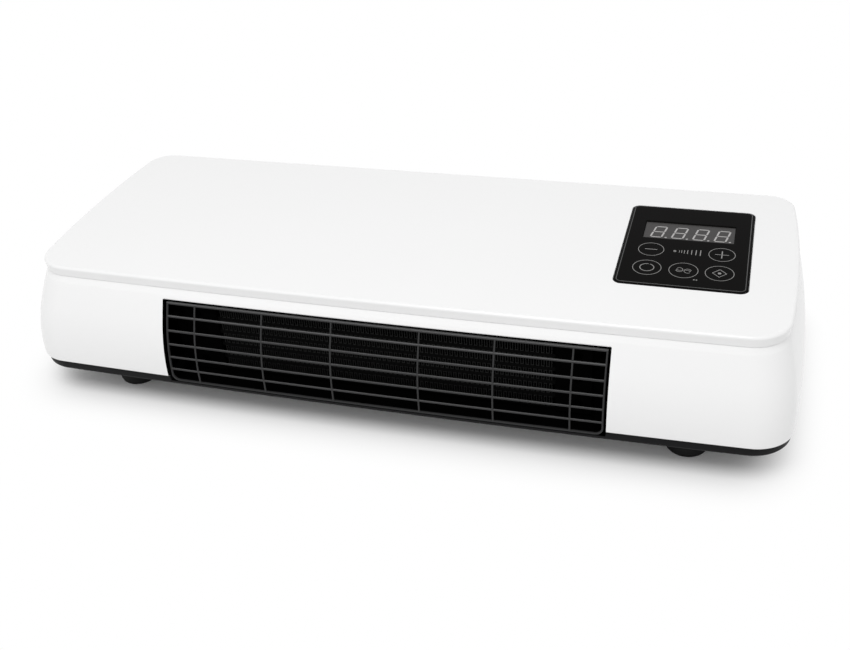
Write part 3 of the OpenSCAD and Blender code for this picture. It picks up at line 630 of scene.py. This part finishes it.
def make_lid():
    """Rings of the plan outline down inside the skirt, up its outside, out under the lid's edge and round it to
    the flat top. Flat fills close the top and the underside, and rounded rectangles make the panel's pocket.
    The ribs, bosses and posts under the solid lid aren't drawn."""
    turn = np.linspace(0, math.pi / 2, 9)
    levels = [(SKIRT_IN, LID_UNDERSIDE), (SKIRT_IN, SKIRT_FOOT), (SKIRT_OUT, SKIRT_FOOT), (SKIRT_OUT, SEAM)]
    levels += [(-1.0, SEAM), (-0.78, 83.4), (-0.6, 83.6), (-0.55, 83.9), (-0.12, 87.9)]
    levels += [(-EDGE + EDGE * math.cos(t), HEIGHT - EDGE + EDGE * math.sin(t)) for t in turn]
    levels += [(-EDGE - 0.4, HEIGHT), (FLAT_TOP, HEIGHT)]
    build = Build()
    build.add(*between([at_height(outline(o), z) for o, z in levels]))
    pocket = lambda dw, r: rounded_loop(PANEL, PANEL_SIZE + dw, r)
    round_mouth, mouth, floor, throat = pocket(2.3, 6.15), pocket(0.7, 5.35), pocket(0.5, 5.25), pocket(-15, 3)
    pad = pocket(10, 6)
    build.add(*flat_fill(outline(FLAT_TOP), [round_mouth], HEIGHT))
    steps = [(round_mouth, HEIGHT), (mouth, HEIGHT), (floor, 89.85), (floor, POCKET_FLOOR), (throat, POCKET_FLOOR),
             (throat, POCKET_UNDERSIDE), (pad, POCKET_UNDERSIDE), (pad, LID_UNDERSIDE)]
    build.add(*between([at_height(loop, z) for loop, z in steps]))
    build.add(*flat_fill(outline(SKIRT_IN), [pad], LID_UNDERSIDE))
    return build.piece("lid", WHITE)


lid = make_lid()
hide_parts("top_cover")


# ---------------------------------------------------------------- the base tray and the feet

CLOSED = 0.0005  # a radius so small that its ring merges into one point


def circle(centre, r, steps=32):
    t = np.arange(steps) * 2 * math.pi / steps
    return np.array(centre) + r * np.stack([np.cos(t), np.sin(t)], 1)


def turned(centre, profile, steps=32):
    """Rings of the given radii at the given heights, one above the other, joined into a band."""
    return between([at_height(circle(centre, r, steps), z) for r, z in profile])


def make_tray():
    """Plan outlines up the outside, over the upstand and down inside. In front of the outlet every height is
    held down to the floor's. Flat fills make the underside and the floor, with a turned post at each hole."""
    rim, end_rim = barrel(FOOT) - 1.4, END_SHARE * barrel(FOOT) - 1.4
    plan = lambda d: outline(rim - d, end_rim - d)
    levels = [(1.6, UNDERSIDE), (1.0, 21.1), (0.5, 21.4), (0.15, 22.0), (0, 22.8), (0, FOOT), (2, FOOT), (2, 29.3),
              (4, 29.3), (4, FLOOR_TOP)]
    loops = []
    for d, z in levels:
        p = plan(d)
        low = (np.abs(p[:, 0]) < OUTLET_HALF + 0.2) & (p[:, 1] < 0)
        loops.append(np.c_[p, np.where(low, min(z, FLOOR_TOP), z)])
    build = Build()
    build.add(*between(loops))
    build.add(*flat_fill(plan(1.6), [circle(c, 4.2) for c in CASE_SCREWS], UNDERSIDE))
    posts = (
        (CASE_SCREWS, [(6.4, FLOOR_TOP), (6.4, 41.6), (6, 42), (2.1, 42), (2.1, 36), (4.2, 36), (4.2, UNDERSIDE)]),
        (FEET.values(), [(5, FLOOR_TOP), (5, 31.2), (4.6, 31.6), (CLOSED, 31.6)]),
        (BOARD_POSTS, [(3.5, FLOOR_TOP), (3.5, 30.6), (1.2, 30.6), (1.2, 24.2), (CLOSED, 24.2)]),
    )
    feet_of_posts = [circle(c, profile[0][0]) for centres, profile in posts for c in centres]
    build.add(*flat_fill(plan(4), feet_of_posts, FLOOR_TOP))
    for centres, profile in posts:
        for c in centres:
            build.add(*turned(c, profile))
    return build.piece("tray", BASE)


tray = make_tray()
# Painted shade: the tray's floor inside the housing gets the near-black inside finish, darker than the base plastic,
# for the shade it lies in.
paint(tray, SHADED_INSIDE_PLASTIC, lambda c, n: (np.abs(c[2] - FLOOR_TOP) < 0.05) & (n[2] > 0.9))
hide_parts("base_tray")


def make_foot(node, centre):
    """A rubber foot turned from one profile: a slightly fuller lower edge and a deep seat for its screw."""
    build = Build()
    profile = [(1.9, 14), (1.9, 21), (11.4, 21), (11.5, 12), (11.8, 8), (12.3, 5), (12.5, 3.6), (12.4, 2.2),
               (12.05, 1.1), (11.5, 0.45), (10.8, 0.1), (10, 0), (5.2, 0), (4.7, 0.2), (4.5, 0.7), (4.5, 14), (1.9, 14)]
    build.add(*turned(centre, profile, 56))
    o = build.piece("rubber_" + node, FOOT_RUBBER)
    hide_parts(node)


for node, centre in FEET.items():
    make_foot(node, centre)

# ---------------------------------------------------------------- the outlet grille


def on_front(x, z, depth):
    """The point of the bowed, barrel-shaped front at x and z, that far behind the shell's face plus the reveal."""
    r = FRONT_RADIUS + wall_face(z) - REVEAL - depth
    return np.stack([x, FRONT_CENTRE[1] - np.sqrt(r**2 - x**2), z], -1)


def swept(section, path):
    """A closed tube: each point of the path carries the whole section, and both ends are capped."""
    n = len(section)
    verts = np.stack([path(a, b) for a, b in section], 1)
    faces = grid_faces(len(verts), n).reshape(-1, 4)
    return verts.reshape(-1, 3), faces, end_caps(len(verts), n)


def make_grille():
    """A frame, bars and ribs with softly rounded front edges, laid on the front's face. A bar is a section
    carried along x, a rib the same section carried up the barrel, and the frame nested outlines of one shape."""
    build = Build()
    e, depth, frame_depth = 0.3, 0.9, 1.3
    section = [(0.12, depth), (0, e), (0.3 * e, 0.3 * e), (e, 0), (BAR - e, 0), (BAR - 0.3 * e, 0.3 * e), (BAR, e),
               (BAR - 0.12, depth)]

    x = np.linspace(-GRILLE_HALF + 0.6, GRILLE_HALF - 0.6, 61)
    for z in GRILLE_LOW + ROW_PITCH * np.arange(1, 6):
        build.add(*swept(section, lambda h, d: on_front(x, np.full_like(x, z + h), d)))
    z = np.linspace(GRILLE_LOW + 0.6, GRILLE_HIGH - 0.6, 25)
    for rib in RIBS:
        build.add(*swept(section, lambda w, d: on_front(np.full_like(z, rib - BAR / 2 + w), z, d + 0.1)))

    def frame_loop(inset, d):
        w, low, high, r = GRILLE_HALF - inset, GRILLE_LOW + inset, GRILLE_HIGH - inset, GRILLE_CORNER - inset
        t = np.linspace(0, math.pi / 2, 8)[1:-1]
        corner = np.stack([w - r + r * np.sin(t), low + r - r * np.cos(t)], 1)
        base = np.linspace(-(w - r), w - r, 51)
        side, top = np.linspace(low + r, high, 22), np.linspace(w, -w, 55)[1:-1]
        p = np.concatenate(
            [np.c_[base, np.full(51, low)], corner, np.c_[np.full(22, w), side], np.c_[top, np.full(53, high)],
             np.c_[np.full(22, -w), side[::-1]], corner[::-1] * [-1, 1]]
        )
        return on_front(p[:, 0], p[:, 1], d)

    rings = [(0, frame_depth), (0, e), (0.3 * e, 0.3 * e), (e, 0), (BAR - e, 0), (BAR - 0.3 * e, 0.3 * e), (BAR, e),
             (BAR, frame_depth), (0, frame_depth)]
    build.add(*between([frame_loop(a, b) for a, b in rings]))
    return build.piece("grille", GRILLE, sharp=50)


grille = make_grille()
# Painted light: the bars' faces that look upwards get the lighter copy of the grille plastic.
paint(grille, BAR_TOPS_PAINTED_LIGHT, lambda c, n: (c[2] > GRILLE_LOW + 3) & (n[2] > 0.62))
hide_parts("outlet_grille")


def make_tabs():
    """The grille's four snap tabs: a thin arm with a hook under it, drawn from the side and given its width.
    Each reaches back to the element's frame; its front end stands a little behind the grille."""
    build = Build()
    arm = np.array([(-3, 0), (-3, 2), (18, 2), (19.5, 1.2), (19.5, 0), (17.5, -1.4), (16.6, -1.4), (16.6, 0)])
    n, length, element_frame = len(arm), 19.5, -80
    for side in (-1, 1):
        for z in (31, 64):
            front = -HALF_DEPTH - wall_face(z) + REVEAL + 4.6
            y = front + arm[:, 0] * (element_frame - front) / length
            y[0] = y[1] = front - 1.5
            ring = lambda x: np.stack([np.full(n, x), y, z + arm[:, 1]], 1)
            verts = np.concatenate([ring(side * 134), ring(side * 129.5)])
            build.add(verts, grid_faces(2, n), end_caps(2, n))
    # The tabs are near black as painted shade, so that they don't show through the grille.
    return build.piece("grille_tabs", SHADED_INSIDE_PLASTIC)


tabs = make_tabs()

# ---------------------------------------------------------------- the touch panel

PANEL_TOP, PANEL_CORNER = 90.66, 5
DRAWN_SIZE = [77, 98]


def make_panel():
    """Rounded rectangles from the pocket's floor up the sides, in over the bevel and across to the window's
    sides; the flat top is filled between the bevel and the window."""
    ring = lambda d, h: at_height(rounded_loop(PANEL, PANEL_SIZE - d, PANEL_CORNER - d / 2), h)
    window = rounded_loop(WINDOW, WINDOW_SIZE, 1)
    wide = rounded_loop(WINDOW, WINDOW_SIZE + 0.3, 1.15)
    build = Build()
    build.add(*between([ring(0, POCKET_FLOOR), ring(0, 89.7), ring(0.12, 89.9), ring(0.45, 90.02), ring(3.9, 90.58),
                        ring(4.2, 90.64), ring(4.6, PANEL_TOP), ring(5.4, PANEL_TOP)]))
    rim = rounded_loop(WINDOW, WINDOW_SIZE + 1.1, 1.55)
    build.add(*flat_fill(rounded_loop(PANEL, PANEL_SIZE - 5.4, 2.3), [rim], PANEL_TOP))
    sides = [(rim, PANEL_TOP), (wide, PANEL_TOP), (window, PANEL_TOP - 0.15), (window, POCKET_FLOOR)]
    build.add(*between([at_height(loop, z) for loop, z in sides]))
    build.add(*flat_fill(rounded_loop(PANEL, PANEL_SIZE, PANEL_CORNER), [window], POCKET_FLOOR))
    return build.piece("panel", PANEL_BLACK, sharp=50)


panel = make_panel()
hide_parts("touch_panel")


def ribbon(path, width, low, high, closed=False):
    """A flat strip of a given width along a path: two side lines square to it, joined by four long faces."""
    p = np.asarray(path, float)
    if closed:
        along = np.roll(p, -1, 0) - np.roll(p, 1, 0)
    else:
        along = np.gradient(p, axis=0)
    along /= np.linalg.norm(along, axis=1, keepdims=True)
    across = np.stack([-along[:, 1], along[:, 0]], 1) * width / 2
    n = len(p)
    low, high = np.full((n, 1), low), np.full((n, 1), high)
    ring = np.stack(
        [np.c_[p + across, high], np.c_[p - across, high], np.c_[p - across, low], np.c_[p + across, low]], 1
    )
    j = np.arange(4)
    i = np.arange(n if closed else n - 1)[:, None]
    k = (i + 1) % n
    faces = np.stack([4 * i + j, 4 * k + j, 4 * k + (j + 1) % 4, 4 * i + (j + 1) % 4], -1).reshape(-1, 4)
    if not closed:
        faces = np.concatenate([faces, [[0, 1, 2, 3], [4 * n - 1, 4 * n - 2, 4 * n - 3, 4 * n - 4]]])
    return ring.reshape(-1, 3), faces


def on_panel(points):
    """Points drawn from the near left corner of a panel of the drawn size, stretched to the panel's own size
    and put in the housing's frame."""
    return PANEL - PANEL_SIZE / 2 + np.asarray(points, float) * PANEL_SIZE / DRAWN_SIZE


def make_bevel():
    """The panel's thin bright line: a low glossy ridge on its sloping edge, as nested rounded rectangles. Its lighter
    black is partly a painted highlight; the rest of the line is the ridge's own gloss.
    """
    build = Build()
    ring = lambda d, h: at_height(rounded_loop(PANEL, PANEL_SIZE - d, PANEL_CORNER - d / 2), h)
    section = [(2.9, 90.25), (3.05, 90.52), (3.25, 90.62), (3.75, 90.66), (3.9, 90.6), (4.0, 90.3), (2.9, 90.25)]
    build.add(*between([ring(d, h) for d, h in section]))
    return build.piece("panel_bevel", PANEL_RIDGE_HIGHLIGHT)


def round_path(x, y, rx, ry=None, a=0.0, b=360.0, steps=64):
    t = np.radians(np.linspace(a, b, steps + 1))
    return np.stack([x + rx * np.cos(t), y + (ry or rx) * np.sin(t)], 1)


def make_signs():
    """Thin printed lines: circles round the five touch places, their signs, and the level marks between."""
    build = Build()
    low, high = PANEL_TOP - 0.04, PANEL_TOP + 0.025
    line = 0.33

    def draw(path, width=line, closed=False):
        build.add(*ribbon(on_panel(path), width, low, high, closed))

    left, middle, right, near, far = 17.8, 39.1, 59.8, 19.4, 41.1
    for x, y, r in ((left, far, 7.6), (right, far, 7.7), (left, near, 8.3), (middle, near, 8.4), (right, near, 8.2)):
        draw(round_path(x, y, r)[:-1], closed=True)
    draw([(left - 3.7, far), (left + 3.7, far)], 0.48)
    draw([(right - 4.1, far), (right + 4.1, far)], 0.42)
    draw([(right, far - 4.2), (right, far + 4.2)], 0.62)
    draw(round_path(left, near, 4.1, a=82, b=430), 0.48)
    for side in (1, -1):
        x, y = middle - 2.5 * side, near + 0.5 * side
        draw(round_path(x, y, 2.1 * side, 2.3 * side, a=-160, b=125, steps=32))
        draw(round_path(x, y, 1.5 * side, 0.9 * side, a=120, b=330, steps=20))
    rhombus = ((0, 4.3), (4.05, 0), (0, -4.3), (-4.05, 0), (0, 4.3))
    draw([(right + x, near + y) for x, y in rhombus], 0.5)
    draw(round_path(right, near, 0.55, steps=20)[:-1], 1.0, True)
    draw(round_path(32.0, far, 0.6, 0.8, steps=20)[:-1], 0.5, True)
    for i, x in enumerate((34.7, 36.1, 37.7, 39.6, 42.0, 44.6, 47.2)):
        rise = 1.3 + 0.33 * i
        draw([(x, far - rise), (x, far + rise)], 0.3 + 0.035 * i)
    for x in (45.9, 47.4):
        draw([(x - 0.45, 9.8), (x + 0.45, 9.8)], 0.9)
    return build.piece("panel_signs", SIGN)


def make_digits():
    """Four slanted figures of seven six-sided segments each, with a point at the lower right of each. The
    upright segments are a little wider than the level ones."""
    build = Build()
    low, high = 89.86, 89.93
    width, height = 7.9, 14.4
    bars = [((0, 0), (1, 0)), ((0, 1), (1, 1)), ((0, 2), (1, 2)), ((0, 0), (0, 1)), ((0, 1), (0, 2)),
            ((1, 0), (1, 1)), ((1, 1), (1, 2))]
    lean = 2.8 / height

    def place(points, x, y):
        p = np.asarray(points, float)
        return on_panel(np.stack([x + p[:, 0] + lean * p[:, 1], y + p[:, 1]], 1))

    def slab(loop):
        n = len(loop)
        build.add(np.concatenate([at_height(loop, high), at_height(loop, low)]), grid_faces(2, n), end_caps(2, n))

    core, first, pitch, foot = 0.6, 14.6, 12.9, 57.6
    for x in first + pitch * np.arange(4):
        for a, b in bars:
            half = 0.52 if a[0] == b[0] else 0.42
            p = np.array([a[0] * (width - 2 * core), a[1] * (height / 2 - core)]) + core
            q = np.array([b[0] * (width - 2 * core), b[1] * (height / 2 - core)]) + core
            u = (q - p) / np.linalg.norm(q - p)
            v = np.array([-u[1], u[0]]) * half
            p, q = p + u * 0.25, q - u * 0.25
            slab(place([p, p + u * half - v, q - u * half - v, q, q - u * half + v, p + u * half + v], x, foot))
        t = np.linspace(0, 2 * math.pi, 17)[:-1]
        slab(place(np.stack([10 + 0.7 * np.cos(t), 0.6 + 0.6 * np.sin(t)], 1), x, foot))
    return build.piece("display_digits", DIGIT)


bevel = make_bevel()
signs = make_signs()
digits = make_digits()

# ---------------------------------------------------------------- floor, light and camera


def seen(tree):
    """1 for the rays that show a background: camera, glossy and transmission rays."""
    path = tree.nodes.new("ShaderNodeLightPath").outputs
    either = maths(tree, "MAXIMUM", path["Is Camera Ray"], path["Is Glossy Ray"])
    return maths(tree, "MAXIMUM", either, path["Is Transmission Ray"])


def mixed(tree, share, first, second):
    """Two shaders mixed by a share."""
    node = tree.nodes.new("ShaderNodeMixShader")
    for socket, source in zip(node.inputs, (share, first, second)):
        tree.links.new(source, socket)
    return node.outputs[0]


SHADOW_SHIFT, SHADOW_HALF = (0.006, 0, 0), (0.205, 0.065, 0)
FADE = (("From Min", 0.012), ("From Max", 0.062), ("To Min", 0.02), ("To Max", 1.0))


def make_floor():
    """A flat square sheet. Near the object it shows its lit paper and the shadow; with the distance from a
    rectangle under the object it turns to plain white for the camera and in reflections, and meets the white
    room without a line. From below it is clear, so that the underside can be seen."""
    mesh = bpy.data.meshes.new("floor")
    s = 6.0
    mesh.from_pydata([(-s, -s, 0), (s, -s, 0), (s, s, 0), (-s, s, 0)], [], [(0, 1, 2, 3)])
    o = put_in_scene("floor", mesh)
    m = bpy.data.materials.new("paper floor")
    m.use_nodes = True
    n, l = m.node_tree.nodes, m.node_tree.links
    paper = n["Principled BSDF"]
    paper.inputs["Roughness"].default_value = 0.9
    paper.inputs["Specular IOR Level"].default_value = 0.1
    shown = seen(m.node_tree)
    tone = n.new("ShaderNodeMix")
    tone.data_type = "RGBA"
    tone.inputs["A"].default_value = (0.8, 0.8, 0.8, 1)
    tone.inputs["B"].default_value = (0.99, 0.99, 0.99, 1)
    l.new(shown, tone.inputs["Factor"])
    l.new(tone.outputs["Result"], paper.inputs["Base Color"])
    place = n.new("ShaderNodeTexCoord")
    last = place.outputs["Object"]
    for operation, value in (("ADD", SHADOW_SHIFT), ("ABSOLUTE", None), ("SUBTRACT", SHADOW_HALF),
                             ("MAXIMUM", (0, 0, 0)), ("LENGTH", None)):
        step = n.new("ShaderNodeVectorMath")
        step.operation = operation
        l.new(last, step.inputs[0])
        if value:
            step.inputs[1].default_value = value
        last = step.outputs["Value" if operation == "LENGTH" else "Vector"]
    fade = n.new("ShaderNodeMapRange")
    fade.interpolation_type = "SMOOTHSTEP"
    for key, value in FADE:
        fade.inputs[key].default_value = value
    l.new(last, fade.inputs["Value"])
    share = maths(m.node_tree, "MULTIPLY", shown, fade.outputs["Result"])
    white, clear = n.new("ShaderNodeEmission"), n.new("ShaderNodeBsdfTransparent")
    above = mixed(m.node_tree, share, paper.outputs[0], white.outputs[0])
    from_below = n.new("ShaderNodeNewGeometry").outputs["Backfacing"]
    l.new(mixed(m.node_tree, from_below, above, clear.outputs[0]), n["Material Output"].inputs["Surface"])
    mesh.materials.append(m)


make_floor()


def make_world():
    """A white room: full white to the camera and in reflections, and an even soft light on the object."""
    world = bpy.data.worlds.new("studio")
    bpy.context.scene.world = world
    world.use_nodes = True
    n, l = world.node_tree.nodes, world.node_tree.links
    n.clear()
    out, room, white = (n.new("ShaderNode" + kind) for kind in ("OutputWorld", "Background", "Background"))
    room.inputs["Color"].default_value = (0.72, 0.72, 0.72, 1)
    white.inputs["Color"].default_value = (1, 1, 1, 1)
    l.new(mixed(world.node_tree, seen(world.node_tree), room.outputs[0], white.outputs[0]), out.inputs["Surface"])


make_world()


def lamp(name, place, aim, size, power):
    light = bpy.data.lights.new(name, "AREA")
    light.shape = "RECTANGLE"
    light.size, light.size_y = size
    light.energy = power
    o = put_in_scene(name, light)
    o.location = place
    o.rotation_mode = "QUATERNION"
    o.rotation_quaternion = (Vector(aim) - Vector(place)).to_track_quat("-Z", "Y")


lamp("overhead softbox", (0.03, -0.6, 1.1), (0, 0, 0.05), (0.6, 0.6), 5.4)
lamp("left softbox", (-0.7, -1.0, 0.7), (0, 0, 0.05), (0.8, 0.8), 0.4)


def make_camera():
    """Placed by a fit to the photograph: its place in millimetres, its turns and its focal length in pixels."""
    place = Vector((198.01, -583.11, 417.25)) * MM
    yaw, pitch, roll, focal = -0.325389, 0.57452, -0.074569, 1093.54
    ahead = Vector((math.sin(yaw) * math.cos(pitch), math.cos(yaw) * math.cos(pitch), -math.sin(pitch)))
    right = Vector((math.cos(yaw), -math.sin(yaw), 0))
    up = right.cross(ahead)
    right, up = (
        math.cos(roll) * right + math.sin(roll) * up,
        -math.sin(roll) * right + math.cos(roll) * up,
    )
    data = bpy.data.cameras.new("camera")
    sensor, image_width = 36, 850
    data.sensor_width = sensor
    data.lens = sensor * focal / image_width
    data.clip_start, data.clip_end = 0.02, 50
    o = put_in_scene("camera", data)
    o.matrix_world = Matrix(
        ((right.x, up.x, -ahead.x, place.x), (right.y, up.y, -ahead.y, place.y), (right.z, up.z, -ahead.z, place.z),
         (0, 0, 0, 1))
    )
    bpy.context.scene.camera = o


make_camera()
bpy.context.scene.view_settings.view_transform = "Standard"
